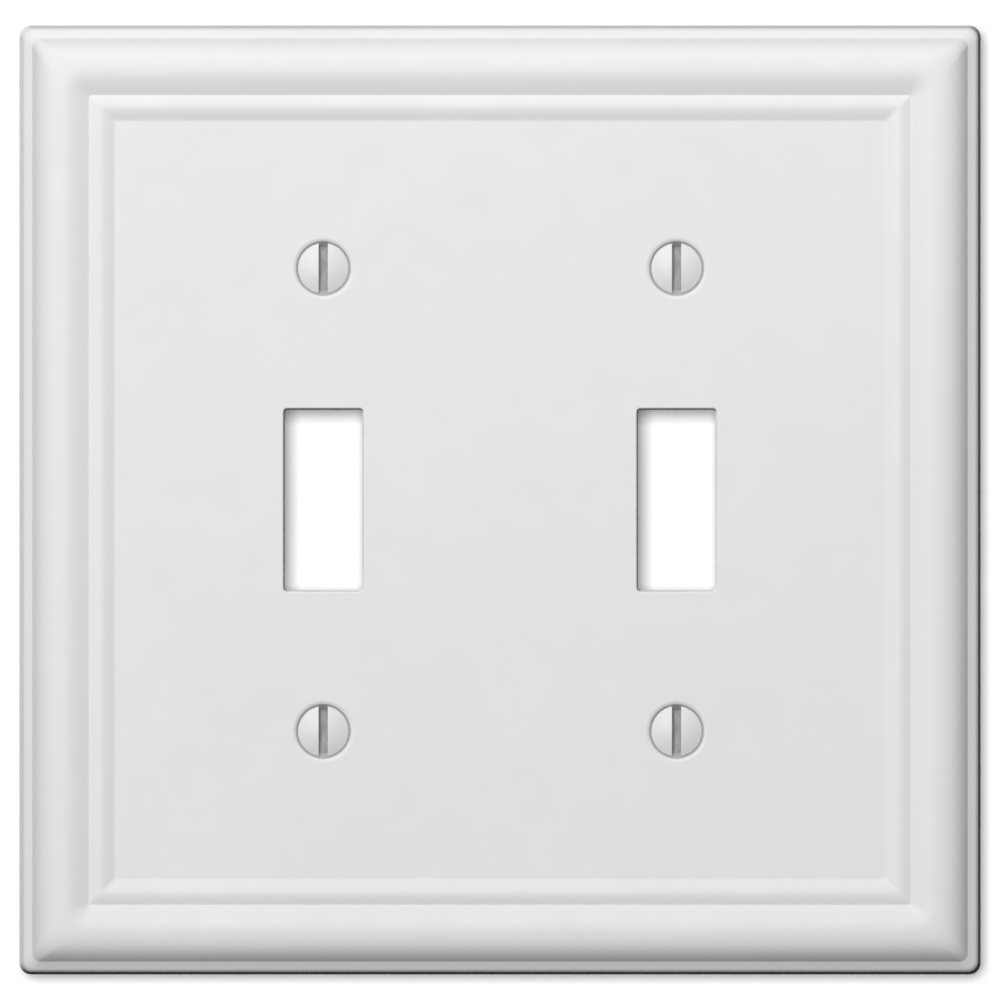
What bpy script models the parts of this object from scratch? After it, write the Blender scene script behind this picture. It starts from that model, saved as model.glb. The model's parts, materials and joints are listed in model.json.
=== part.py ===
"""Two-gang toggle switch wall plate with its four screws, at real size in metres.

The plate is one hollow sheet-metal pressing with a moulded border, two toggle openings and four
formed countersinks. It stands upright as installed: +Z is up, the face looks towards -Y, and the
origin is in the wall plane behind the middle of the plate. A height is a distance in front of the
wall plane, and an inset is a distance in from the plate's outline.
"""

import math

import bmesh
import bpy

MM = 0.001

# Outline, and the standard spacings of the switches behind the plate
PLATE_WIDTH = 125.4 * MM
PLATE_HEIGHT = 123.8 * MM
GANG_SPACING = 46.04 * MM
SCREW_SPACING = 60.33 * MM
SHEET = 0.8 * MM

# Moulded border, from the outline in to the flat field
SIDE_DRAFT = 0.3 * MM
EDGE_ROUND = 0.9 * MM
RIM_TILT = math.radians(22)
ROLL_FOOT = 1.74 * MM
ROLL_CREST = 5.95 * MM
ROLL_RISE = 1.9 * MM
ROLL_SHARPNESS = 0.6
VALLEY = 9.15 * MM
ROLL_FALL = 0.72 * MM
BEAD_CREST = 10.6 * MM
BEAD_RISE = 0.23 * MM
BEAD_FOOT = 12.25 * MM
BEAD_FALL = 0.33 * MM
FIELD_EDGE = 12.65 * MM
CORNER_RADII = (
    (0.0, 1.5 * MM),
    (ROLL_FOOT, 1.1 * MM),
    (ROLL_CREST, 2.6 * MM),
    (VALLEY, 0.3 * MM),
    (FIELD_EDGE, 0.4 * MM),
)

# Heights that follow from the field and the border
FIELD_HEIGHT = 5.321 * MM
FILLET_DROP = 0.75 * BEAD_FALL * (FIELD_EDGE - BEAD_FOOT) / (BEAD_FOOT - BEAD_CREST)
BEAD_HEIGHT = FIELD_HEIGHT + FILLET_DROP + BEAD_FALL
VALLEY_HEIGHT = BEAD_HEIGHT - BEAD_RISE
CREST_HEIGHT = VALLEY_HEIGHT + ROLL_FALL
FOOT_HEIGHT = CREST_HEIGHT - ROLL_RISE

# Toggle openings
TOGGLE_WIDTH = 10.3 * MM
TOGGLE_HEIGHT = 23.8 * MM
TOGGLE_CORNER = 0.5 * MM
TOGGLE_EDGE = 0.15 * MM
FLARE_START = math.radians(15)

# 6-32 slotted oval-head screws, and the countersinks formed for them
HEAD_ANGLE = math.radians(41)
HEAD_RADIUS = 3.35 * MM
HEAD_LAND = 0.1 * MM
HEAD_SINK = 0.05 * MM
DOME_RISE = 0.75 * MM
SLOT_WIDTH = 1.2 * MM
SLOT_DEPTH = 1.2 * MM
SCREW_LENGTH = 12.7 * MM
THREAD_RADIUS = 1.75 * MM
THREAD_ROOT = 1.33 * MM
THREAD_PITCH = 0.794 * MM
SINK_RADIUS = 3.8 * MM
SINK_EDGE = 0.2 * MM
SINK_BEVEL = math.radians(30)
CLEARANCE_RADIUS = 2.1 * MM
DIMPLE_DEPTH = 2.4 * MM

# Cutters and fused shapes run this far past the surface that they meet
OVERRUN = 0.5 * MM
MERGE = 0.00001

# How finely each shape is divided
CORNER_STEPS = 4
FRONT_STEPS = {"edge": 4, "roll": 10, "fall": 5, "bead": 4, "fillet": 2}
BACK_STEPS = {"edge": 1, "roll": 5, "fall": 3, "bead": 2, "fillet": 1}
TURN_STEPS = 32
DOME_STEPS = 6
ARC_STEPS = 3
SHARP_ANGLE = math.radians(35)

WHITE_ENAMEL = (0.79, 0.78, 0.76, 1.0)
WHITE_ENAMEL_ROUGHNESS = 0.4
SCREW_ENAMEL = (0.74, 0.74, 0.73, 1.0)
SCREW_ENAMEL_ROUGHNESS = 0.35


def clear_scene():
    for item in list(bpy.data.objects):
        bpy.data.objects.remove(item)


def new_collection(name):
    collection = bpy.data.collections.new(name)
    bpy.context.scene.collection.children.link(collection)
    return collection


def new_material(name, colour, roughness):
    material = bpy.data.materials.new(name)
    material.use_nodes = True
    shader = material.node_tree.nodes["Principled BSDF"]
    shader.inputs["Base Color"].default_value = colour
    shader.inputs["Roughness"].default_value = roughness
    shader.inputs["Metallic"].default_value = 0.0
    return material


def new_object(name, bm, collection):
    mesh = bpy.data.meshes.new(name)
    bm.to_mesh(mesh)
    bm.free()
    item = bpy.data.objects.new(name, mesh)
    collection.objects.link(item)
    return item


def make_cutter(item):
    """Keeps an object that only cuts or joins out of the finished model."""
    item.hide_render = True
    item.display_type = "WIRE"


def add_boolean(item, tool, operation):
    modifier = item.modifiers.new(tool.name, "BOOLEAN")
    modifier.operation = operation
    modifier.solver = "EXACT"
    modifier.object = tool


def curve(start, end, steps, height):
    """Points from just after start to end, in equal insets, with the height that a function gives."""
    insets = [start + (end - start) * step / steps for step in range(1, steps + 1)]
    return [(inset, height(inset)) for inset in insets]


def bend(share):
    """How far a slope has dropped, from 0 to 1, when it curves less and less on its way down."""
    return 1.5 * (share**2 - share**3 / 3)


def border_profile(steps):
    """The border's section as (inset, height) points, from the wall plane in to the flat field."""
    rim_inset = SIDE_DRAFT + EDGE_ROUND * (1 - math.sin(RIM_TILT))
    rim_height = FOOT_HEIGHT - (ROLL_FOOT - rim_inset) * math.tan(RIM_TILT)
    centre_height = rim_height - EDGE_ROUND * math.cos(RIM_TILT)
    points = [(0, 0)]
    for step in range(steps["edge"] + 1):
        angle = (math.pi / 2 - RIM_TILT) * step / steps["edge"]
        inset = SIDE_DRAFT + EDGE_ROUND * (1 - math.cos(angle))
        points.append((inset, centre_height + EDGE_ROUND * math.sin(angle)))
    points.append((ROLL_FOOT, FOOT_HEIGHT))

    def roll(inset):
        share = (ROLL_CREST - inset) / (ROLL_CREST - ROLL_FOOT)
        drop = (1 - ROLL_SHARPNESS) * share**2 + ROLL_SHARPNESS * share**4
        return CREST_HEIGHT - ROLL_RISE * drop

    def fall(inset):
        return CREST_HEIGHT - ROLL_FALL * bend((inset - ROLL_CREST) / (VALLEY - ROLL_CREST))

    def bead_rise(inset):
        return BEAD_HEIGHT - BEAD_RISE * bend((BEAD_CREST - inset) / (BEAD_CREST - VALLEY))

    def bead_fall(inset):
        return BEAD_HEIGHT - BEAD_FALL * bend((inset - BEAD_CREST) / (BEAD_FOOT - BEAD_CREST))

    def fillet(inset):
        return FIELD_HEIGHT + FILLET_DROP * ((FIELD_EDGE - inset) / (FIELD_EDGE - BEAD_FOOT)) ** 2

    points += curve(ROLL_FOOT, ROLL_CREST, steps["roll"], roll)
    points += curve(ROLL_CREST, VALLEY, steps["fall"], fall)
    points += curve(VALLEY, BEAD_CREST, steps["bead"], bead_rise)
    points += curve(BEAD_CREST, BEAD_FOOT, steps["bead"], bead_fall)
    points += curve(BEAD_FOOT, FIELD_EDGE, steps["fillet"], fillet)
    return points


def move_back(profile, distance):
    """The section moved into the sheet along its normals, with mitred corners."""
    normals = []
    for (inset, height), (next_inset, next_height) in zip(profile, profile[1:]):
        run, rise = next_inset - inset, next_height - height
        length = math.hypot(run, rise)
        normals.append((-rise / length, run / length))
    moved = []
    for index, (inset, height) in enumerate(profile):
        before = normals[max(index - 1, 0)]
        after = normals[min(index, len(normals) - 1)]
        mitre = distance / (1 + before[0] * after[0] + before[1] * after[1])
        moved.append((inset - mitre * (before[0] + after[0]), height - mitre * (before[1] + after[1])))
    return moved


def rounded_ring(bm, half_width, half_height, corner, height):
    """Vertices of a rounded rectangle, parallel to the wall plane and centred on the Y axis."""
    ring = []
    for quarter, (side_x, side_z) in enumerate(((1, 1), (-1, 1), (-1, -1), (1, -1))):
        for step in range(CORNER_STEPS + 1):
            angle = math.pi / 2 * (quarter + step / CORNER_STEPS)
            x = side_x * (half_width - corner) + corner * math.cos(angle)
            z = side_z * (half_height - corner) + corner * math.sin(angle)
            ring.append(bm.verts.new((x, -height, z)))
    return ring


def loft(bm, rings):
    """A closed solid through rings with equally many vertices."""
    for ring, next_ring in zip(rings, rings[1:]):
        for index in range(len(ring)):
            following = (index + 1) % len(ring)
            bm.faces.new((ring[index], ring[following], next_ring[following], next_ring[index]))
    bm.faces.new(rings[0])
    bm.faces.new(rings[-1])
    bmesh.ops.recalc_face_normals(bm, faces=bm.faces)


def corner_radius(inset):
    """Corner radius of the border's contour at an inset, between the radii that are named."""
    for (start, start_radius), (end, end_radius) in zip(CORNER_RADII, CORNER_RADII[1:]):
        if inset <= end:
            share = (inset - start) / (end - start)
            return start_radius + (end_radius - start_radius) * share
    return CORNER_RADII[-1][1]


def border_ring(bm, inset, height):
    half_width = PLATE_WIDTH / 2 - inset
    half_height = PLATE_HEIGHT / 2 - inset
    return rounded_ring(bm, half_width, half_height, corner_radius(inset), height)


def make_pressing(name, collection):
    """The sheet with its border, before any hole: up the back, round the rim and over the front."""
    back = move_back(border_profile(BACK_STEPS), SHEET)
    back[0] = (back[0][0], 0)
    section = list(reversed(back)) + border_profile(FRONT_STEPS)
    bm = bmesh.new()
    loft(bm, [border_ring(bm, inset, height) for inset, height in section])
    pressing = new_object(name, bm, collection)
    pressing.data.shade_smooth()
    pressing.data.set_sharp_from_angle(angle=SHARP_ANGLE)
    return pressing


def flared_edge(radius):
    """Rounding between a hole's wall and the face, as (growth, height) points from the face down."""
    points = [(radius + OVERRUN, FIELD_HEIGHT + OVERRUN * math.sin(FLARE_START))]
    for step in range(1, ARC_STEPS + 1):
        angle = FLARE_START + (math.pi / 2 - FLARE_START) * step / ARC_STEPS
        growth = radius * (1 - math.sin(angle))
        points.append((growth, FIELD_HEIGHT - radius * (1 - math.cos(angle))))
    return points


def make_toggle_cutter(name, x, collection):
    """A block as wide as the opening, that widens where the opening's front edge is rounded."""
    section = flared_edge(TOGGLE_EDGE) + [(0, 0)]
    bm = bmesh.new()
    rings = []
    for growth, height in section:
        half_width = TOGGLE_WIDTH / 2 + growth
        half_height = TOGGLE_HEIGHT / 2 + growth
        rings.append(rounded_ring(bm, half_width, half_height, TOGGLE_CORNER + growth, height))
    loft(bm, rings)
    cutter = new_object(name, bm, collection)
    cutter.location.x = x
    make_cutter(cutter)
    return cutter


def make_turned(name, profile, x, z, collection):
    """A closed (radius, height) profile, from its front to its back, turned about a line along Y."""
    bm = bmesh.new()
    points = [bm.verts.new((radius, 0, height)) for radius, height in profile]
    for point, next_point in zip(points, points[1:]):
        bm.edges.new((point, next_point))
    item = new_object(name, bm, collection)
    item.location = (x, 0, z)
    item.rotation_euler.x = math.pi / 2
    screw = item.modifiers.new("turn", "SCREW")
    screw.steps = TURN_STEPS
    screw.render_steps = TURN_STEPS
    screw.use_merge_vertices = True
    screw.merge_threshold = MERGE
    return item


def cone_depth(wide_radius, narrow_radius):
    """Depth over which the head's cone angle narrows from one radius to the other."""
    return (wide_radius - narrow_radius) / math.tan(HEAD_ANGLE)


def dimple_profile():
    """The sheet that is pushed back around a countersink, fused to the back of the field."""
    wall = SHEET / math.cos(HEAD_ANGLE)
    start = SHEET / 2
    start_radius = SINK_RADIUS + wall - start * math.tan(HEAD_ANGLE)
    tip_radius = SINK_RADIUS + wall - DIMPLE_DEPTH * math.tan(HEAD_ANGLE)
    front = FIELD_HEIGHT - start
    back = FIELD_HEIGHT - DIMPLE_DEPTH
    return [(0, front), (start_radius, front), (tip_radius, back), (0, back)]


def countersink_profile():
    """The countersink's cone, with a bevelled mouth, and the clearance hole behind it."""
    cone_top = SINK_RADIUS - SINK_EDGE * math.tan(HEAD_ANGLE)
    bevel_top = cone_top + (SINK_EDGE + OVERRUN) / math.tan(SINK_BEVEL)
    points = [(0, FIELD_HEIGHT + OVERRUN)]
    points.append((bevel_top, FIELD_HEIGHT + OVERRUN))
    points.append((cone_top, FIELD_HEIGHT - SINK_EDGE))
    points.append((CLEARANCE_RADIUS, FIELD_HEIGHT - cone_depth(SINK_RADIUS, CLEARANCE_RADIUS)))
    points.append((CLEARANCE_RADIUS, 0))
    points.append((0, 0))
    return points


def pierce_plate(plate, x, z, cutters):
    """Makes the holes of one quarter of the plate, and mirrors that quarter sideways and down."""
    toggle = make_toggle_cutter("toggle_cutter", x, cutters)
    dimple = make_turned("dimple", dimple_profile(), x, z, cutters)
    sink = make_turned("countersink", countersink_profile(), x, z, cutters)
    make_cutter(dimple)
    make_cutter(sink)
    add_boolean(plate, toggle, "DIFFERENCE")
    add_boolean(plate, dimple, "UNION")
    add_boolean(plate, sink, "DIFFERENCE")
    mirror = plate.modifiers.new("quarters", "MIRROR")
    mirror.use_axis = (True, False, True)
    mirror.use_bisect_axis = (True, False, True)
    mirror.merge_threshold = MERGE


def screw_profile():
    """A domed head, its cone, a threaded shank with ridges a pitch apart, and a short blunt point."""
    rim = FIELD_HEIGHT - HEAD_SINK
    dome_radius = (HEAD_RADIUS**2 + DOME_RISE**2) / (2 * DOME_RISE)
    dome_angle = math.asin(HEAD_RADIUS / dome_radius)
    points = []
    for step in range(DOME_STEPS + 1):
        angle = dome_angle * step / DOME_STEPS
        height = rim + DOME_RISE - dome_radius * (1 - math.cos(angle))
        points.append((dome_radius * math.sin(angle), height))
    points.append((HEAD_RADIUS, rim - HEAD_LAND))
    neck = rim - HEAD_LAND - cone_depth(HEAD_RADIUS, THREAD_ROOT)
    tip = rim - SCREW_LENGTH
    turns = math.floor((neck - tip) / THREAD_PITCH)
    for turn in range(turns):
        root = neck - turn * THREAD_PITCH
        points.append((THREAD_ROOT, root))
        points.append((THREAD_RADIUS, root - THREAD_PITCH / 2))
    points.append((THREAD_ROOT, tip))
    points.append((0, tip))
    return points


def make_screw(name, x, z, parts, cutters):
    screw = make_turned(name, screw_profile(), x, z, parts)
    dome_top = FIELD_HEIGHT - HEAD_SINK + DOME_RISE
    bpy.ops.mesh.primitive_cube_add(size=1)
    slot = bpy.context.object
    slot.name = name + "_slot"
    depth = SLOT_DEPTH + OVERRUN
    slot.scale = (SLOT_WIDTH, depth, 2 * HEAD_RADIUS + OVERRUN)
    slot.location = (x, -(dome_top + OVERRUN - depth / 2), z)
    for collection in slot.users_collection:
        collection.objects.unlink(slot)
    cutters.objects.link(slot)
    make_cutter(slot)
    add_boolean(screw, slot, "DIFFERENCE")
    return screw


def build():
    clear_scene()
    parts = new_collection("two_gang_toggle_wall_plate")
    cutters = new_collection("cutters")
    plate_enamel = new_material("white_enamel", WHITE_ENAMEL, WHITE_ENAMEL_ROUGHNESS)
    screw_enamel = new_material("screw_enamel", SCREW_ENAMEL, SCREW_ENAMEL_ROUGHNESS)

    plate = make_pressing("wall_plate", parts)
    plate.data.materials.append(plate_enamel)
    pierce_plate(plate, GANG_SPACING / 2, SCREW_SPACING / 2, cutters)
    for side, x in (("left", -GANG_SPACING / 2), ("right", GANG_SPACING / 2)):
        for level, z in (("upper", SCREW_SPACING / 2), ("lower", -SCREW_SPACING / 2)):
            screw = make_screw(f"{level}_{side}_screw", x, z, parts, cutters)
            screw.data.materials.append(screw_enamel)


build()
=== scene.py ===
"""Looks of the two-gang toggle switch wall plate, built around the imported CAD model.

A height is a distance in front of the wall plane, towards -Y. An inset is a distance in from the
plate's outline. Every piece is a fine mesh that stands for one CAD node and rides on its body.
"""

import json
import math

import bmesh
import bpy
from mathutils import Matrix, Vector
from mathutils.geometry import delaunay_2d_cdt


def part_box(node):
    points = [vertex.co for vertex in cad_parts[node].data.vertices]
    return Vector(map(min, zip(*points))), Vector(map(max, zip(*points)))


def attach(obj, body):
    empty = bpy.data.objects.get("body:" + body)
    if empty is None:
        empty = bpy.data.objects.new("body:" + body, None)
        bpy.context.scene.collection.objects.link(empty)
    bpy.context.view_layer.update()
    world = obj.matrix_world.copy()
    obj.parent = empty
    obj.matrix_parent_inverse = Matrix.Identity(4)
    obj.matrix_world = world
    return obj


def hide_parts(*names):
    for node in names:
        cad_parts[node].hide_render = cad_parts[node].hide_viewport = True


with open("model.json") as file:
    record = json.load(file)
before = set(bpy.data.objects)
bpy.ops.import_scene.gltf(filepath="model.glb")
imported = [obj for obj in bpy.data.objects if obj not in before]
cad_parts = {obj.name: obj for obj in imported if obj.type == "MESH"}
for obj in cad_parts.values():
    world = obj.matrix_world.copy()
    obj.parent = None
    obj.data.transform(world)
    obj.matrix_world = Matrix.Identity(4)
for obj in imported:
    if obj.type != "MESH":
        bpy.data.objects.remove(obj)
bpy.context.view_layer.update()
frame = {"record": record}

MM = 0.001

# Places and sizes that the frame holds
plate_low, plate_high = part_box("wall_plate")
HALF_WIDTH = plate_high[0]
HALF_HEIGHT = plate_high[2]
CREST_HEIGHT = -plate_low[1]
JOINTS = frame["record"]["behaviour"]["joints"]
SCREWS = {joint["child"]: (joint["pos_m"][0], joint["pos_m"][2]) for joint in JOINTS}
screw_low, screw_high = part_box("upper_left_screw")
SCREW_TIP = -screw_high[1]
TOGGLE_X = SCREWS["upper_right_screw"][0]

# Moulded border, from the outline in to the flat field
SIDE_DRAFT = 0.3 * MM
EDGE_ROUND = 0.9 * MM
RIM_TILT = math.radians(22)
ROLL_FOOT = 1.74 * MM
ROLL_CREST = 5.95 * MM
ROLL_RISE = 1.9 * MM
ROLL_SHARPNESS = 0.6
VALLEY = 9.15 * MM
ROLL_FALL = 0.72 * MM
BEAD_CREST = 10.6 * MM
BEAD_RISE = 0.23 * MM
BEAD_FOOT = 12.25 * MM
BEAD_FALL = 0.33 * MM
FIELD_EDGE = 12.65 * MM
SHEET = 0.8 * MM
CREASE_REACH = 0.08 * MM
CREASE_ANGLE = math.radians(15)
CORNER_RADII = (
    (0.0, 1.5 * MM),
    (ROLL_FOOT, 1.1 * MM),
    (ROLL_CREST, 2.6 * MM),
    (VALLEY, 0.3 * MM),
    (FIELD_EDGE, 0.4 * MM),
)

# Heights that follow from the crest, which is the foremost point, and the border
BEAD_HEIGHT = CREST_HEIGHT - ROLL_FALL + BEAD_RISE
FILLET_DROP = 0.75 * BEAD_FALL * (FIELD_EDGE - BEAD_FOOT) / (BEAD_FOOT - BEAD_CREST)
FIELD_HEIGHT = BEAD_HEIGHT - BEAD_FALL - FILLET_DROP
FOOT_HEIGHT = CREST_HEIGHT - ROLL_RISE
FIELD_BACK = FIELD_HEIGHT - SHEET

# Openings and countersinks
TOGGLE_WIDTH = 10.36 * MM
TOGGLE_HEIGHT = 23.8 * MM
TOGGLE_CORNER = 0.45 * MM
TOGGLE_EDGE = 0.2 * MM
TOGGLE_TAPER = 0.13 * MM
BURR = 0.06 * MM
HEAD_ANGLE = math.radians(41)
SINK_RADIUS = 3.64 * MM
SINK_EDGE = 0.9 * MM
CLEARANCE_RADIUS = 2.1 * MM
DIMPLE_DEPTH = 2.4 * MM
DIMPLE_FILLET = 0.5 * MM
SUPPORT = 0.08 * MM

# Screws
HEAD_RADIUS = 3.31 * MM
HEAD_LAND = 0.05 * MM
HEAD_SINK = 0.2 * MM
RIM_ROUND = 0.1 * MM
DOME_RISE = 0.54 * MM
DOME_TOP = FIELD_HEIGHT - HEAD_SINK + DOME_RISE
SLOT_HALF = 0.57 * MM
SLOT_DEPTH = 1.3 * MM
LIP_ROUND = 0.1 * MM
THREAD_RADIUS = 1.75 * MM
THREAD_ROOT = 1.33 * MM
THREAD_PITCH = 0.794 * MM
ROOT_FLAT = 0.12  # share of half a pitch that the thread's flat root takes
FLANK = 0.72  # and its flank
TIP_CHAMFER = 0.5 * MM

# How finely each shape is divided
FRONT_STEPS = {"edge": 12, "roll": 36, "fall": 14, "bead": 12, "fillet": 8}
BACK_STEPS = {"edge": 4, "roll": 16, "fall": 8, "bead": 8, "fillet": 4}
CORNER_STEPS = 12
CREASE_STEPS = 3
CIRCLE_STEPS = 112
ARC_STEPS = 8
SHADED_SEAT_RING = 7  # contour of a countersink where the painted shade on its seat begins
DOME_STEPS = 26
HEAD_COLUMNS = 48
LIP_STEPS = 5
WALL_STEPS = 8
FLOOR_COLUMNS = 8
CONE_STEPS = 10
ROWS_PER_TURN = 12
SHARP_ANGLE = math.radians(28)
WELD = 0.0000005
FILL_STEP = 3.0 * MM
FILL_ERROR = 0.0000001


def curve(start, end, steps, height):
    """Points from just after start to end, in equal insets, with the height that a function gives."""
    insets = [start + (end - start) * step / steps for step in range(1, steps + 1)]
    return [(inset, height(inset)) for inset in insets]


def bend(share):
    """How far a slope has dropped, from 0 to 1, when it curves less and less on its way down."""
    return 1.5 * (share**2 - share**3 / 3)


def border_profile(steps):
    """The border's section as (inset, height) points, from the wall plane in to the flat field."""
    rim_inset = SIDE_DRAFT + EDGE_ROUND * (1 - math.sin(RIM_TILT))
    rim_height = FOOT_HEIGHT - (ROLL_FOOT - rim_inset) * math.tan(RIM_TILT)
    centre_height = rim_height - EDGE_ROUND * math.cos(RIM_TILT)
    points = [(0, 0)]
    for step in range(steps["edge"] + 1):
        angle = (math.pi / 2 - RIM_TILT) * step / steps["edge"]
        inset = SIDE_DRAFT + EDGE_ROUND * (1 - math.cos(angle))
        points.append((inset, centre_height + EDGE_ROUND * math.sin(angle)))
    points.append((ROLL_FOOT, FOOT_HEIGHT))

    def roll(inset):
        share = (ROLL_CREST - inset) / (ROLL_CREST - ROLL_FOOT)
        drop = (1 - ROLL_SHARPNESS) * share**2 + ROLL_SHARPNESS * share**4
        return CREST_HEIGHT - ROLL_RISE * drop

    def fall(inset):
        return CREST_HEIGHT - ROLL_FALL * bend((inset - ROLL_CREST) / (VALLEY - ROLL_CREST))

    def bead_rise(inset):
        return BEAD_HEIGHT - BEAD_RISE * bend((BEAD_CREST - inset) / (BEAD_CREST - VALLEY))

    def bead_fall(inset):
        return BEAD_HEIGHT - BEAD_FALL * bend((inset - BEAD_CREST) / (BEAD_FOOT - BEAD_CREST))

    def fillet(inset):
        return FIELD_HEIGHT + FILLET_DROP * ((FIELD_EDGE - inset) / (FIELD_EDGE - BEAD_FOOT)) ** 2

    points += curve(ROLL_FOOT, ROLL_CREST, steps["roll"], roll)
    points += curve(ROLL_CREST, VALLEY, steps["fall"], fall)
    points += curve(VALLEY, BEAD_CREST, steps["bead"], bead_rise)
    points += curve(BEAD_CREST, BEAD_FOOT, steps["bead"], bead_fall)
    points += curve(BEAD_FOOT, FIELD_EDGE, steps["fillet"], fillet)
    return points


def soften_creases(profile, reach):
    """The section with each sharp fold turned into a small arc, as paint fills it."""
    points = [Vector(point) for point in profile]
    softened = [points[0]]
    for before, point, after in zip(points, points[1:], points[2:]):
        incoming = (point - before).normalized()
        outgoing = (after - point).normalized()
        if incoming.angle(outgoing) < CREASE_ANGLE:
            softened.append(point)
            continue
        start = point - incoming * min(reach, (point - before).length / 2)
        end = point + outgoing * min(reach, (after - point).length / 2)
        for step in range(CREASE_STEPS + 1):
            share = step / CREASE_STEPS
            softened.append(start.lerp(point, share).lerp(point.lerp(end, share), share))
    softened.append(points[-1])
    return [tuple(point) for point in softened]


def move_back(profile, distance):
    """The section moved into the sheet along its normals, with mitred corners."""
    normals = []
    for (inset, height), (next_inset, next_height) in zip(profile, profile[1:]):
        run, rise = next_inset - inset, next_height - height
        length = math.hypot(run, rise)
        normals.append((-rise / length, run / length))
    moved = []
    for index, (inset, height) in enumerate(profile):
        before = normals[max(index - 1, 0)]
        after = normals[min(index, len(normals) - 1)]
        mitre = distance / (1 + before[0] * after[0] + before[1] * after[1])
        moved.append((inset - mitre * (before[0] + after[0]), height - mitre * (before[1] + after[1])))
    return moved


def corner_radius(inset):
    """Corner radius of the border's contour at an inset, between the radii that are named."""
    for (start, start_radius), (end, end_radius) in zip(CORNER_RADII, CORNER_RADII[1:]):
        if inset <= end:
            share = (inset - start) / (end - start)
            return start_radius + (end_radius - start_radius) * share
    return CORNER_RADII[-1][1]


def rounded_ring(bm, half_width, half_height, corner, height, centre_x=0.0):
    """Vertices of a rounded rectangle, parallel to the wall plane."""
    ring = []
    for quarter, (side_x, side_z) in enumerate(((1, 1), (-1, 1), (-1, -1), (1, -1))):
        for step in range(CORNER_STEPS + 1):
            angle = math.pi / 2 * (quarter + step / CORNER_STEPS)
            x = side_x * (half_width - corner) + corner * math.cos(angle)
            z = side_z * (half_height - corner) + corner * math.sin(angle)
            ring.append(bm.verts.new((centre_x + x, -height, z)))
    return ring


def border_ring(bm, inset, height):
    return rounded_ring(bm, HALF_WIDTH - inset, HALF_HEIGHT - inset, corner_radius(inset), height)


def circle_ring(bm, radius, height, centre):
    ring = []
    for step in range(CIRCLE_STEPS):
        angle = 2 * math.pi * step / CIRCLE_STEPS
        x = centre[0] + radius * math.cos(angle)
        z = centre[1] + radius * math.sin(angle)
        ring.append(bm.verts.new((x, -height, z)))
    return ring


def join_rings(bm, rings, material=0):
    for ring, next_ring in zip(rings, rings[1:]):
        for index in range(len(ring)):
            following = (index + 1) % len(ring)
            corners = (ring[index], ring[following], next_ring[following], next_ring[index])
            bm.faces.new(corners).material_index = material


def fill_flat(bm, outline, holes, material=0):
    """Fills the flat face inside an outline and around its holes with even triangles."""
    loops = [outline] + holes
    vertices = [vertex for loop in loops for vertex in loop]
    height = -outline[0].co.y
    points = [Vector((vertex.co.x, vertex.co.z)) for vertex in vertices]
    edges, faces, start = [], [], 0
    for loop in loops:
        indices = list(range(start, start + len(loop)))
        edges += list(zip(indices, indices[1:] + indices[:1]))
        faces.append(indices)
        start += len(loop)
    steps_x = round(2 * HALF_WIDTH / FILL_STEP)
    steps_z = round(2 * HALF_HEIGHT / FILL_STEP)
    for column in range(steps_x + 1):
        for row in range(steps_z + 1):
            x = HALF_WIDTH * (2 * column / steps_x - 1)
            z = HALF_HEIGHT * (2 * row / steps_z - 1)
            if is_open_ground(x, z):
                points.append(Vector((x, z)))
    placed, _, triangles, origins, _, owners = delaunay_2d_cdt(points, edges, faces, 0, FILL_ERROR)
    known = {}
    for index, (place, origin) in enumerate(zip(placed, origins)):
        loop_points = [item for item in origin if item < len(vertices)]
        if loop_points:
            known[index] = vertices[loop_points[0]]
        else:
            known[index] = bm.verts.new((place.x, -height, place.y))
    for triangle, owner in zip(triangles, owners):
        if list(owner) == [0]:
            bm.faces.new([known[index] for index in triangle]).material_index = material


def is_open_ground(x, z):
    """Whether a point is well inside the flat field and clear of every hole."""
    edge = FIELD_EDGE + FILL_STEP / 2
    if abs(x) > HALF_WIDTH - edge or abs(z) > HALF_HEIGHT - edge:
        return False
    reach_x, reach_z = (TOGGLE_WIDTH + FILL_STEP) / 2, (TOGGLE_HEIGHT + FILL_STEP) / 2
    if abs(abs(x) - TOGGLE_X) < reach_x and abs(z) < reach_z:
        return False
    reach = SINK_RADIUS + FILL_STEP / 2
    return all(math.hypot(x - centre_x, z - centre_z) > reach for centre_x, centre_z in SCREWS.values())


def toggle_rings(bm, x):
    """Contours of a toggle opening: flat margin, rounded front edge, wall, small back edge, margin."""
    section = [(TOGGLE_EDGE + SUPPORT, FIELD_HEIGHT)]
    for step in range(ARC_STEPS + 1):
        angle = math.pi / 2 * step / ARC_STEPS
        drop = TOGGLE_EDGE * (1 - math.cos(angle))
        section.append((TOGGLE_EDGE * (1 - math.sin(angle)), FIELD_HEIGHT - drop))
    for step in range(ARC_STEPS // 2 + 1):
        angle = math.pi / 2 * step / (ARC_STEPS // 2)
        growth = BURR * (1 - math.cos(angle)) - TOGGLE_TAPER
        section.append((growth, FIELD_BACK + BURR * (1 - math.sin(angle))))
    section.append((BURR + SUPPORT - TOGGLE_TAPER, FIELD_BACK))
    rings = []
    for growth, height in section:
        half_width = TOGGLE_WIDTH / 2 + growth
        half_height = TOGGLE_HEIGHT / 2 + growth
        rings.append(rounded_ring(bm, half_width, half_height, TOGGLE_CORNER + growth, height, x))
    return rings


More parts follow.
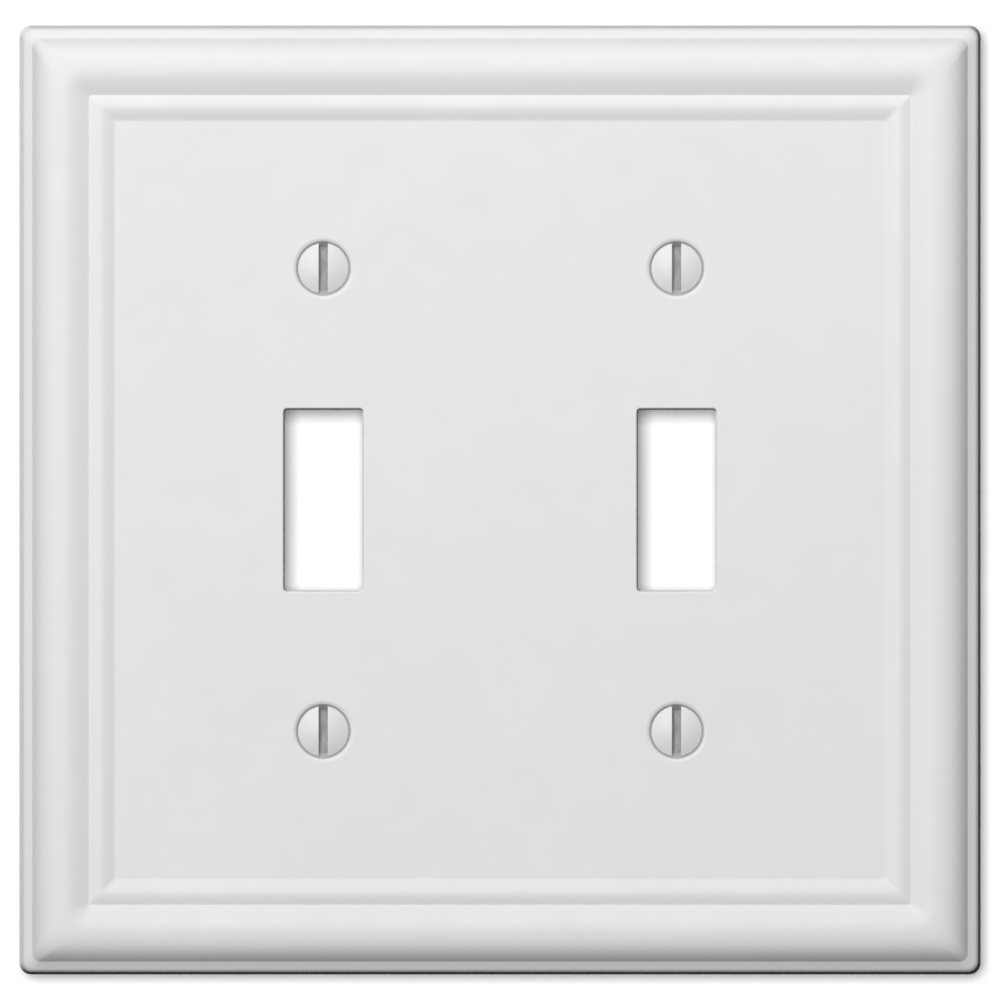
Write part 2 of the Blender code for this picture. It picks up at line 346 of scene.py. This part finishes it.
def countersink_front():
    """Section of a countersink's front as (radius, height): margin, rounded mouth, cone, hole."""
    turn = math.pi / 2 - HEAD_ANGLE
    mouth = SINK_RADIUS + SINK_EDGE * math.tan(turn / 2)
    points = [(mouth + SUPPORT, FIELD_HEIGHT)]
    for step in range(ARC_STEPS + 1):
        angle = turn * step / ARC_STEPS
        drop = SINK_EDGE * (1 - math.cos(angle))
        points.append((mouth - SINK_EDGE * math.sin(angle), FIELD_HEIGHT - drop))
    cone_depth = (SINK_RADIUS - CLEARANCE_RADIUS) / math.tan(HEAD_ANGLE)
    points.append((CLEARANCE_RADIUS, FIELD_HEIGHT - cone_depth))
    points.append((CLEARANCE_RADIUS, FIELD_HEIGHT - DIMPLE_DEPTH))
    return points


def dimple_back():
    """Section of the metal that is pushed back around a countersink, out to a flat margin."""
    turn = math.pi / 2 - HEAD_ANGLE
    wall = SHEET / math.cos(HEAD_ANGLE)
    tip_radius = SINK_RADIUS + wall - DIMPLE_DEPTH * math.tan(HEAD_ANGLE)
    foot = SINK_RADIUS + wall - SHEET * math.tan(HEAD_ANGLE) + DIMPLE_FILLET * math.tan(turn / 2)
    points = [(tip_radius - BURR, FIELD_HEIGHT - DIMPLE_DEPTH)]
    points.append((tip_radius, FIELD_HEIGHT - DIMPLE_DEPTH + BURR))
    for step in range(ARC_STEPS, -1, -1):
        angle = turn * step / ARC_STEPS
        drop = DIMPLE_FILLET * (1 - math.cos(angle))
        points.append((foot - DIMPLE_FILLET * math.sin(angle), FIELD_BACK - drop))
    points.append((foot + SUPPORT, FIELD_BACK))
    return points


# The seat's material is darker enamel that paints the shade of the gap round each screw head.
FRONT_FINISH, BACK_FINISH, SEAT_SHADE_INDEX = 0, 1, 2


def make_plate(finishes):
    """The whole pressing as one closed mesh: border, flat field, openings and formed countersinks."""
    bm = bmesh.new()
    front_section = soften_creases(border_profile(FRONT_STEPS), CREASE_REACH)
    back_section = move_back(border_profile(BACK_STEPS), SHEET)
    back_section[0] = (back_section[0][0], 0)
    front = [border_ring(bm, *point) for point in front_section]
    front.append(border_ring(bm, FIELD_EDGE + SUPPORT, FIELD_HEIGHT))
    back = [border_ring(bm, *point) for point in back_section]
    back.append(border_ring(bm, FIELD_EDGE + SUPPORT, FIELD_BACK))
    join_rings(bm, front, FRONT_FINISH)
    join_rings(bm, [front[0], back[0]], FRONT_FINISH)
    join_rings(bm, back, BACK_FINISH)

    front_holes, back_holes = [], []
    for x in (-TOGGLE_X, TOGGLE_X):
        rings = toggle_rings(bm, x)
        join_rings(bm, rings, FRONT_FINISH)
        front_holes.append(rings[0])
        back_holes.append(rings[-1])
    for centre in SCREWS.values():
        sink = [circle_ring(bm, *point, centre) for point in countersink_front()]
        dimple = [circle_ring(bm, *point, centre) for point in dimple_back()]
        # From this contour inwards the countersink takes the darker material that paints the gap's
        # shade.
        join_rings(bm, sink[:SHADED_SEAT_RING], FRONT_FINISH)
        join_rings(bm, sink[SHADED_SEAT_RING - 1 :], SEAT_SHADE_INDEX)
        join_rings(bm, [sink[-1]] + dimple, BACK_FINISH)
        front_holes.append(sink[0])
        back_holes.append(dimple[-1])
    fill_flat(bm, front[-1], front_holes, FRONT_FINISH)
    fill_flat(bm, back[-1], back_holes, BACK_FINISH)
    return finish_mesh("plate", bm, finishes)


def finish_mesh(name, bm, finishes):
    """Welds, orients and smooths a mesh, and gives it its materials."""
    bmesh.ops.remove_doubles(bm, verts=bm.verts, dist=WELD)
    bmesh.ops.recalc_face_normals(bm, faces=bm.faces)
    for face in bm.faces:
        face.smooth = True
    mesh = bpy.data.meshes.new(name)
    bm.to_mesh(mesh)
    bm.free()
    mesh.set_sharp_from_angle(angle=SHARP_ANGLE)
    for finish in finishes:
        mesh.materials.append(finish)
    return mesh


def add_grid(bm, rows, columns, place, material=0):
    """A patch of quads whose corners a function places, from its row and column numbers."""
    grid = []
    for row in range(rows + 1):
        grid.append([bm.verts.new(place(row, column)) for column in range(columns + 1)])
    for row in range(rows):
        for column in range(columns):
            corners = (
                grid[row][column],
                grid[row][column + 1],
                grid[row + 1][column + 1],
                grid[row + 1][column],
            )
            bm.faces.new(corners).material_index = material


DOME_RADIUS = (HEAD_RADIUS**2 + DOME_RISE**2) / (2 * DOME_RISE)


def dome_height(radius):
    """Height of the head's top at a distance from the axis, with its rim rounded over."""
    height = DOME_TOP - DOME_RADIUS + math.sqrt(DOME_RADIUS**2 - radius**2)
    over = max(radius - (HEAD_RADIUS - RIM_ROUND), 0) / RIM_ROUND
    return height - RIM_ROUND * (1 - math.sqrt(max(1 - over**2, 0)))


RIM_HEIGHT = dome_height(HEAD_RADIUS)
SLOT_FLOOR = DOME_TOP - SLOT_DEPTH
NECK_HEIGHT = RIM_HEIGHT - HEAD_LAND - (HEAD_RADIUS - THREAD_ROOT) / math.tan(HEAD_ANGLE)


def side_radius(height):
    """Radius of the head's side: a short land under the rim, then the cone down to the neck."""
    below = max(RIM_HEIGHT - HEAD_LAND - height, 0)
    return HEAD_RADIUS - below * math.tan(HEAD_ANGLE)


def slot_rows():
    """(half width, height at the rim) of the slot at each row, over its lip and down its wall."""
    rows = []
    for step in range(LIP_STEPS + 1):
        angle = math.pi / 2 * step / LIP_STEPS
        half = SLOT_HALF + LIP_ROUND * (1 - math.sin(angle))
        rows.append((half, RIM_HEIGHT - LIP_ROUND * (1 - math.cos(angle))))
    top = rows[-1][1]
    for step in range(1, WALL_STEPS + 1):
        rows.append((SLOT_HALF, top + (SLOT_FLOOR - top) * step / WALL_STEPS))
    return rows


# The slot's walls and floor take bare zinc, with its tone darkened to paint the shade down in the slot.
ENAMEL, BARE_SHADED, ZINC = 0, 1, 2


def add_head(bm):
    """The domed head above the slot's floor, in four patches for each side of the slot."""
    rows = slot_rows()
    lip_half = rows[0][0]
    open_angle = math.acos(lip_half / HEAD_RADIUS)

    def along(column):
        """Place along the slot, from -1 at its lower end to 1 at its upper end."""
        return math.sin(open_angle * (2 * column / HEAD_COLUMNS - 1)) / math.sin(open_angle)

    for side in (1, -1):

        def dome(row, column):
            angle = open_angle * (2 * column / HEAD_COLUMNS - 1)
            share = math.sin(math.pi / 2 * row / DOME_STEPS)
            x = lip_half + (HEAD_RADIUS * math.cos(angle) - lip_half) * share
            z = HEAD_RADIUS * math.sin(angle)
            return side * x, -dome_height(min(math.hypot(x, z), HEAD_RADIUS)), z

        def wall(row, column):
            half, end_height = rows[row]
            z_end = math.sqrt(side_radius(end_height) ** 2 - half**2)
            z = z_end * along(column)
            lip_z = math.sqrt(HEAD_RADIUS**2 - lip_half**2) * along(column)
            lip_height = dome_height(min(math.hypot(lip_half, lip_z), HEAD_RADIUS))
            if row <= LIP_STEPS:
                return side * half, -(lip_height - RIM_HEIGHT + end_height), z
            lip_height += rows[LIP_STEPS][1] - RIM_HEIGHT
            share = (row - LIP_STEPS) / WALL_STEPS
            return side * half, -(lip_height + (SLOT_FLOOR - lip_height) * share), z

        def flank(row, column):
            half, height = rows[row]
            radius = side_radius(height)
            angle = math.acos(half / radius) * (2 * column / HEAD_COLUMNS - 1)
            return side * radius * math.cos(angle), -height, radius * math.sin(angle)

        add_grid(bm, DOME_STEPS, HEAD_COLUMNS, dome, ENAMEL)
        add_grid(bm, LIP_STEPS, HEAD_COLUMNS, wall, ENAMEL)
        add_grid(bm, WALL_STEPS, HEAD_COLUMNS, lambda row, column: wall(row + LIP_STEPS, column), BARE_SHADED)
        add_grid(bm, len(rows) - 1, HEAD_COLUMNS, flank, ENAMEL)

    def floor(row, column):
        x = SLOT_HALF * (1 - 2 * row / FLOOR_COLUMNS)
        z = math.sqrt(side_radius(SLOT_FLOOR) ** 2 - x**2) * along(column)
        return x, -SLOT_FLOOR, z

    add_grid(bm, FLOOR_COLUMNS, HEAD_COLUMNS, floor, BARE_SHADED)


def floor_angles():
    """Angles of the vertices round the head at the slot's floor, where the four patches end."""
    radius = side_radius(SLOT_FLOOR)
    open_angle = math.acos(SLOT_HALF / radius)
    angles = []
    for half_turn in (0, math.pi):
        for column in range(HEAD_COLUMNS):
            angles.append(half_turn + open_angle * (2 * column / HEAD_COLUMNS - 1))
        for column in range(FLOOR_COLUMNS):
            across = SLOT_HALF * (1 - 2 * column / FLOOR_COLUMNS)
            angles.append(half_turn + math.acos(across / radius))
    return angles


def smoothstep(value):
    share = min(max(value, 0), 1)
    return share * share * (3 - 2 * share)


def thread_radius(angle, height):
    """Radius of a right-hand thread at an angle from +X towards +Z and at a height."""
    turns = (NECK_HEIGHT - height) / THREAD_PITCH + angle / (2 * math.pi)
    ridge = 1 - abs(2 * (turns % 1) - 1)
    ridge = min(max((ridge - ROOT_FLAT) / FLANK, 0), 1)
    run_in = smoothstep((NECK_HEIGHT - height) / THREAD_PITCH)
    radius = THREAD_ROOT + (THREAD_RADIUS - THREAD_ROOT) * ridge * run_in
    return min(radius, THREAD_RADIUS - TIP_CHAMFER + height - SCREW_TIP)


def add_shank(bm):
    """The cone under the slot, the neck and the threaded shank, down to its flat tip."""
    start_angles = floor_angles()
    count = len(start_angles)
    even_angles = [start_angles[0] + 2 * math.pi * index / count for index in range(count)]

    def ring(height, radius_at, blend):
        vertices = []
        for start, even in zip(start_angles, even_angles):
            angle = start + (even - start) * blend
            radius = radius_at(angle)
            place = (radius * math.cos(angle), -height, radius * math.sin(angle))
            vertices.append(bm.verts.new(place))
        return vertices

    cone = []
    for step in range(CONE_STEPS + 1):
        share = step / CONE_STEPS
        height = SLOT_FLOOR + (NECK_HEIGHT - SLOT_FLOOR) * share
        cone.append(ring(height, lambda angle: side_radius(height), share))
    join_rings(bm, cone, ZINC)
    rows = round((NECK_HEIGHT - SCREW_TIP) / THREAD_PITCH * ROWS_PER_TURN)
    thread = [cone[-1]]
    for step in range(1, rows + 1):
        height = NECK_HEIGHT + (SCREW_TIP - NECK_HEIGHT) * step / rows
        thread.append(ring(height, lambda angle: thread_radius(angle, height), 1))
    join_rings(bm, thread, ZINC)
    bm.faces.new(thread[-1]).material_index = ZINC


def make_screw(finishes):
    bm = bmesh.new()
    add_head(bm)
    add_shank(bm)
    return finish_mesh("screw", bm, finishes)


# Materials: each pair of tones drifts from the first to the second, and a noise scale is per metre
PLATE_TONES = ((0.80, 0.79, 0.775, 1), (0.785, 0.775, 0.76, 1))
HEAD_TONES = ((0.79, 0.79, 0.78, 1), (0.75, 0.75, 0.745, 1))
# Painted shade: the countersink's seat is darker than the plate's enamel, to stand for the shade in the
# gap round each head.
SEAT_SHADE_TONES = ((0.5, 0.5, 0.49, 1), (0.44, 0.44, 0.43, 1))
# Bare zinc in the slot, far darker than the shank's zinc: the tone also paints the shade down in the
# slot.
SLOT_SHADE_TONES = ((0.37, 0.37, 0.38, 1), (0.31, 0.31, 0.32, 1))
SHANK_TONES = ((0.72, 0.74, 0.77, 1), (0.6, 0.62, 0.65, 1))
BACK_TONES = ((0.62, 0.62, 0.61, 1), (0.52, 0.53, 0.535, 1))
SPECK_TONE = (0.36, 0.37, 0.39, 1)
ENAMEL_ROUGHNESS = 0.5
ENAMEL_SWING = 0.04
DRIFT_SCALE, GLOSS_SCALE = 28.0, 240.0
PLATE_PEEL, HEAD_PEEL, SEAT_PEEL = 900.0, 1600.0, 2500.0
PEEL_HEIGHT = 0.004 * MM
DUST_FINENESS = 7
DUST_HEIGHT = PEEL_HEIGHT / 6
SLOT_ROUGHNESS, SLOT_METALLIC = 0.62, 0.35
SHANK_ROUGHNESS, SHANK_METALLIC = 0.38, 0.7
ZINC_CLOUD_SCALE, ZINC_GLOSS_SCALE, ZINC_GRAIN_SCALE = 500.0, 1500.0, 6000.0
ZINC_SMOOTHER, ZINC_ROUGHER = 0.08, 0.1
ZINC_GRAIN = 0.002 * MM
PATCH_SCALE, PATCH_RANGE = 45.0, (0.35, 0.65)
SPECK_SCALE, SPECK_RANGE, SPECK_AMOUNT = 1800.0, (0.5, 0.75), 0.35
BACK_ROUGHNESS = (0.45, 0.65)
BACK_GLOSS_SCALE, BACK_GRAIN_SCALE = 300.0, 2500.0
BACK_GRAIN = 0.006 * MM


def new_nodes(name):
    material = bpy.data.materials.new(name)
    material.use_nodes = True
    tree = material.node_tree
    return material, tree, tree.nodes["Principled BSDF"]


def add_noise(tree, scale, detail=4.0, roughness=0.5):
    """Noise in the object's own metres."""
    place = tree.nodes.new("ShaderNodeTexCoord")
    noise = tree.nodes.new("ShaderNodeTexNoise")
    noise.inputs["Scale"].default_value = scale
    noise.inputs["Detail"].default_value = detail
    noise.inputs["Roughness"].default_value = roughness
    tree.links.new(place.outputs["Object"], noise.inputs["Vector"])
    return noise.outputs["Fac"]


def add_range(tree, value, low, high, from_low=0.3, from_high=0.7):
    """A value mapped from its useful range to low..high."""
    mapper = tree.nodes.new("ShaderNodeMapRange")
    mapper.inputs["From Min"].default_value = from_low
    mapper.inputs["From Max"].default_value = from_high
    mapper.inputs["To Min"].default_value = low
    mapper.inputs["To Max"].default_value = high
    tree.links.new(value, mapper.inputs["Value"])
    return mapper.outputs["Result"]


def add_mix(tree, factor, first, second):
    mix = tree.nodes.new("ShaderNodeMix")
    mix.data_type = "RGBA"
    tree.links.new(factor, mix.inputs["Factor"])
    for socket, colour in (("A", first), ("B", second)):
        target = [item for item in mix.inputs if item.name == socket and item.type == "RGBA"][0]
        if isinstance(colour, tuple):
            target.default_value = colour
        else:
            tree.links.new(colour, target)
    return [item for item in mix.outputs if item.type == "RGBA"][0]


def add_bump(tree, height, distance, normal=None):
    bump = tree.nodes.new("ShaderNodeBump")
    bump.inputs["Distance"].default_value = distance
    tree.links.new(height, bump.inputs["Height"])
    if normal is not None:
        tree.links.new(normal, bump.inputs["Normal"])
    return bump.outputs["Normal"]


def enamel(name, tones, peel_scale):
    """Satin enamel: slight tone drift, uneven gloss and orange peel."""
    material, tree, shader = new_nodes(name)
    drift = add_range(tree, add_noise(tree, DRIFT_SCALE, detail=2.0), 0.0, 1.0)
    tree.links.new(add_mix(tree, drift, *tones), shader.inputs["Base Color"])
    low, high = ENAMEL_ROUGHNESS - ENAMEL_SWING, ENAMEL_ROUGHNESS + ENAMEL_SWING
    gloss = add_range(tree, add_noise(tree, GLOSS_SCALE), low, high)
    tree.links.new(gloss, shader.inputs["Roughness"])
    peel = add_bump(tree, add_noise(tree, peel_scale, detail=2.0), PEEL_HEIGHT)
    specks = add_noise(tree, peel_scale * DUST_FINENESS, detail=1.0)
    dust = add_bump(tree, specks, DUST_HEIGHT, peel)
    tree.links.new(dust, shader.inputs["Normal"])
    return material


def zinc(name, tones, roughness, metallic):
    """Zinc plating: cloudy tone, fine grain and a dull shine."""
    material, tree, shader = new_nodes(name)
    cloud = add_range(tree, add_noise(tree, ZINC_CLOUD_SCALE), 0.0, 1.0)
    tree.links.new(add_mix(tree, cloud, *tones), shader.inputs["Base Color"])
    shader.inputs["Metallic"].default_value = metallic
    low, high = roughness - ZINC_SMOOTHER, roughness + ZINC_ROUGHER
    gloss = add_range(tree, add_noise(tree, ZINC_GLOSS_SCALE), low, high)
    tree.links.new(gloss, shader.inputs["Roughness"])
    grain = add_bump(tree, add_noise(tree, ZINC_GRAIN_SCALE, detail=2.0), ZINC_GRAIN)
    tree.links.new(grain, shader.inputs["Normal"])
    return material


def back_coat(name):
    """The back's thin coat: the enamel mists over the steel and leaves patches grey."""
    material, tree, shader = new_nodes(name)
    patch = add_range(tree, add_noise(tree, PATCH_SCALE, detail=6.0), 0.0, 1.0, *PATCH_RANGE)
    coat = add_mix(tree, patch, *BACK_TONES)
    specks = add_noise(tree, SPECK_SCALE, detail=3.0)
    speck = add_range(tree, specks, 0.0, SPECK_AMOUNT, *SPECK_RANGE)
    tree.links.new(add_mix(tree, speck, coat, SPECK_TONE), shader.inputs["Base Color"])
    gloss = add_range(tree, add_noise(tree, BACK_GLOSS_SCALE), *BACK_ROUGHNESS)
    tree.links.new(gloss, shader.inputs["Roughness"])
    grain = add_bump(tree, add_noise(tree, BACK_GRAIN_SCALE, detail=3.0), BACK_GRAIN)
    tree.links.new(grain, shader.inputs["Normal"])
    return material


def place_piece(name, mesh, node, body, at=(0.0, 0.0)):
    piece = bpy.data.objects.new(name, mesh)
    bpy.context.scene.collection.objects.link(piece)
    piece.location = (at[0], 0, at[1])
    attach(piece, body)
    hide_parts(node)
    return piece


# Stage: a one-sided matt wall right behind the plate, and a pale floor below it
WALL_GAP = 0.25 * MM
STAGE_REACH = 3.0
FLOOR_DROP = 0.35
FLOOR_TONE = (0.82, 0.82, 0.81, 1)
FLOOR_ROUGHNESS = 0.8
WALL_TONE = 0.2
FLOOR_GLOW = 0.4

# Light on the flat field, in watts per square metre, and what comes from all round
FIELD_LIGHT = 3.18
AMBIENT = 0.03
BACKDROP = 0.9

# Each lamp's azimuth, elevation, distance, size, and share of the light on the field. The wall
# has a lamp of its own, which is stronger because the wall is darker than white paint.
LAMPS = {
    "key": (126, 73, 2.2, (0.9, 0.9), 0.69),
    "overhead": (90, 38, 0.47, (0.6, 0.17), 0.24),
    "wall_light": (135, 80, 2.2, (1.26, 1.26), 5.6),
    "side": (172, 32, 1.6, (0.8, 0.5), 0.05),
    "back_key": (150, -50, 1.2, (0.5, 0.5), 1.0),
    "back_glint": (60, -50, 0.8, (0.6, 0.4), 0.3),
}


def stage_sheet(name, corners, material):
    mesh = bpy.data.meshes.new(name)
    mesh.from_pydata(corners, [], [(0, 1, 2, 3)])
    mesh.materials.append(material)
    sheet = bpy.data.objects.new(name, mesh)
    bpy.context.scene.collection.objects.link(sheet)
    sheet.visible_diffuse = False
    sheet.visible_glossy = False
    return sheet


def wall_material():
    """Matt paint towards the room, which its own lamp lights to white, and clear from behind."""
    material, tree, shader = new_nodes("wall_paint")
    shader.inputs["Base Color"].default_value = (WALL_TONE, WALL_TONE, WALL_TONE, 1)
    shader.inputs["Roughness"].default_value = 1.0
    shader.inputs["Specular IOR Level"].default_value = 0.0
    geometry = tree.nodes.new("ShaderNodeNewGeometry")
    clear = tree.nodes.new("ShaderNodeBsdfTransparent")
    choose = tree.nodes.new("ShaderNodeMixShader")
    output = tree.nodes["Material Output"]
    tree.links.new(geometry.outputs["Backfacing"], choose.inputs["Fac"])
    tree.links.new(shader.outputs["BSDF"], choose.inputs[1])
    tree.links.new(clear.outputs["BSDF"], choose.inputs[2])
    tree.links.new(choose.outputs["Shader"], output.inputs["Surface"])
    return material


def floor_material():
    material, tree, shader = new_nodes("floor_paint")
    shader.inputs["Base Color"].default_value = FLOOR_TONE
    shader.inputs["Roughness"].default_value = FLOOR_ROUGHNESS
    shader.inputs["Emission Color"].default_value = (1, 1, 1, 1)
    shader.inputs["Emission Strength"].default_value = FLOOR_GLOW
    return material


def make_stage():
    reach, floor = STAGE_REACH, -HALF_HEIGHT - FLOOR_DROP
    wall_corners = (
        (-reach, WALL_GAP, floor),
        (reach, WALL_GAP, floor),
        (reach, WALL_GAP, reach),
        (-reach, WALL_GAP, reach),
    )
    wall = stage_sheet("wall", wall_corners, wall_material())
    wall.visible_shadow = False
    floor_corners = (
        (-reach, -reach, floor),
        (reach, -reach, floor),
        (reach, reach, floor),
        (-reach, reach, floor),
    )
    stage_sheet("floor", floor_corners, floor_material())
    return wall


def make_lamp(name, azimuth, elevation, distance, size, share):
    """A soft rectangular light that faces the plate and gives a share of the light on its field.

    Azimuth turns from +X towards +Z as seen from the front, elevation rises from the wall plane.
    """
    lamp = bpy.data.lights.new(name, "AREA")
    lamp.shape = "RECTANGLE"
    lamp.size, lamp.size_y = size
    rise = math.radians(elevation)
    turn = math.radians(azimuth)
    towards = Vector((math.cos(rise) * math.cos(turn), -math.sin(rise), math.cos(rise) * math.sin(turn)))
    lamp.energy = share * FIELD_LIGHT * math.pi * distance**2 / abs(math.sin(rise))
    item = bpy.data.objects.new(name, lamp)
    bpy.context.scene.collection.objects.link(item)
    item.location = towards * distance
    item.rotation_euler = towards.to_track_quat("Z", "Y").to_euler()
    item.visible_camera = False
    return item


def choose_receivers(name, receivers, lamps, state):
    """Makes lamps light only these objects, or all but these."""
    chosen = bpy.data.collections.new(name)
    for receiver in receivers:
        chosen.objects.link(receiver)
    for entry in chosen.collection_objects:
        entry.light_linking.link_state = state
    for lamp in lamps:
        lamp.light_linking.receiver_collection = chosen


def make_lights(wall, screws):
    lamps = {name: make_lamp(name, *numbers) for name, numbers in LAMPS.items()}
    lamps["back_key"].visible_glossy = False
    room_lamps = (lamps["key"], lamps["overhead"], lamps["side"])
    choose_receivers("all_but_wall", [wall], room_lamps, "EXCLUDE")
    choose_receivers("wall_only", [wall], (lamps["wall_light"],), "INCLUDE")
    choose_receivers("screws_only", screws, (lamps["back_glint"],), "INCLUDE")
    world = bpy.data.worlds.new("room")
    bpy.context.scene.world = world
    world.use_nodes = True
    tree = world.node_tree
    ambient = tree.nodes["Background"]
    ambient.inputs["Color"].default_value = (1, 1, 1, 1)
    ambient.inputs["Strength"].default_value = AMBIENT
    backdrop = tree.nodes.new("ShaderNodeBackground")
    backdrop.inputs["Color"].default_value = (BACKDROP, BACKDROP, BACKDROP, 1)
    backdrop.inputs["Strength"].default_value = 1.0
    path = tree.nodes.new("ShaderNodeLightPath")
    choose = tree.nodes.new("ShaderNodeMixShader")
    tree.links.new(path.outputs["Is Camera Ray"], choose.inputs["Fac"])
    tree.links.new(ambient.outputs["Background"], choose.inputs[1])
    tree.links.new(backdrop.outputs["Background"], choose.inputs[2])
    tree.links.new(choose.outputs["Shader"], tree.nodes["World Output"].inputs["Surface"])


# The camera looks straight at the face from far away, so the view is nearly flat
LENS = 1000.0
SENSOR = 36.0
FRAME_WIDTH = 130.3 * MM
CLIP_END = 20.0


def make_camera():
    data = bpy.data.cameras.new("camera")
    data.lens = LENS
    data.sensor_width = SENSOR
    data.clip_end = CLIP_END
    camera = bpy.data.objects.new("camera", data)
    bpy.context.scene.collection.objects.link(camera)
    camera.location = (0, -(FIELD_HEIGHT + FRAME_WIDTH * LENS / SENSOR), 0)
    camera.rotation_euler = (math.pi / 2, 0, 0)
    bpy.context.scene.camera = camera
    bpy.context.scene.view_settings.view_transform = "Standard"


def build():
    plate_enamel = enamel("plate_enamel", PLATE_TONES, PLATE_PEEL)
    screw_enamel = enamel("screw_enamel", HEAD_TONES, HEAD_PEEL)
    # This darker enamel paints the shade in the gap between each head and its countersink.
    seat_painted_shade = enamel("seat_painted_shade", SEAT_SHADE_TONES, SEAT_PEEL)
    # The slot's zinc is bare metal, and its dark tone is also painted shade in the slot.
    shaded_bare_slot = zinc("shaded_bare_slot", SLOT_SHADE_TONES, SLOT_ROUGHNESS, SLOT_METALLIC)
    bright_zinc = zinc("bright_zinc", SHANK_TONES, SHANK_ROUGHNESS, SHANK_METALLIC)

    plate_mesh = make_plate([plate_enamel, back_coat("back_coat"), seat_painted_shade])
    place_piece("plate_pressing", plate_mesh, "wall_plate", "plate")
    screw_mesh = make_screw([screw_enamel, shaded_bare_slot, bright_zinc])
    screws = []
    for node, centre in SCREWS.items():
        screws.append(place_piece(node + "_detail", screw_mesh, node, node, centre))
    make_lights(make_stage(), screws)
    make_camera()


build()
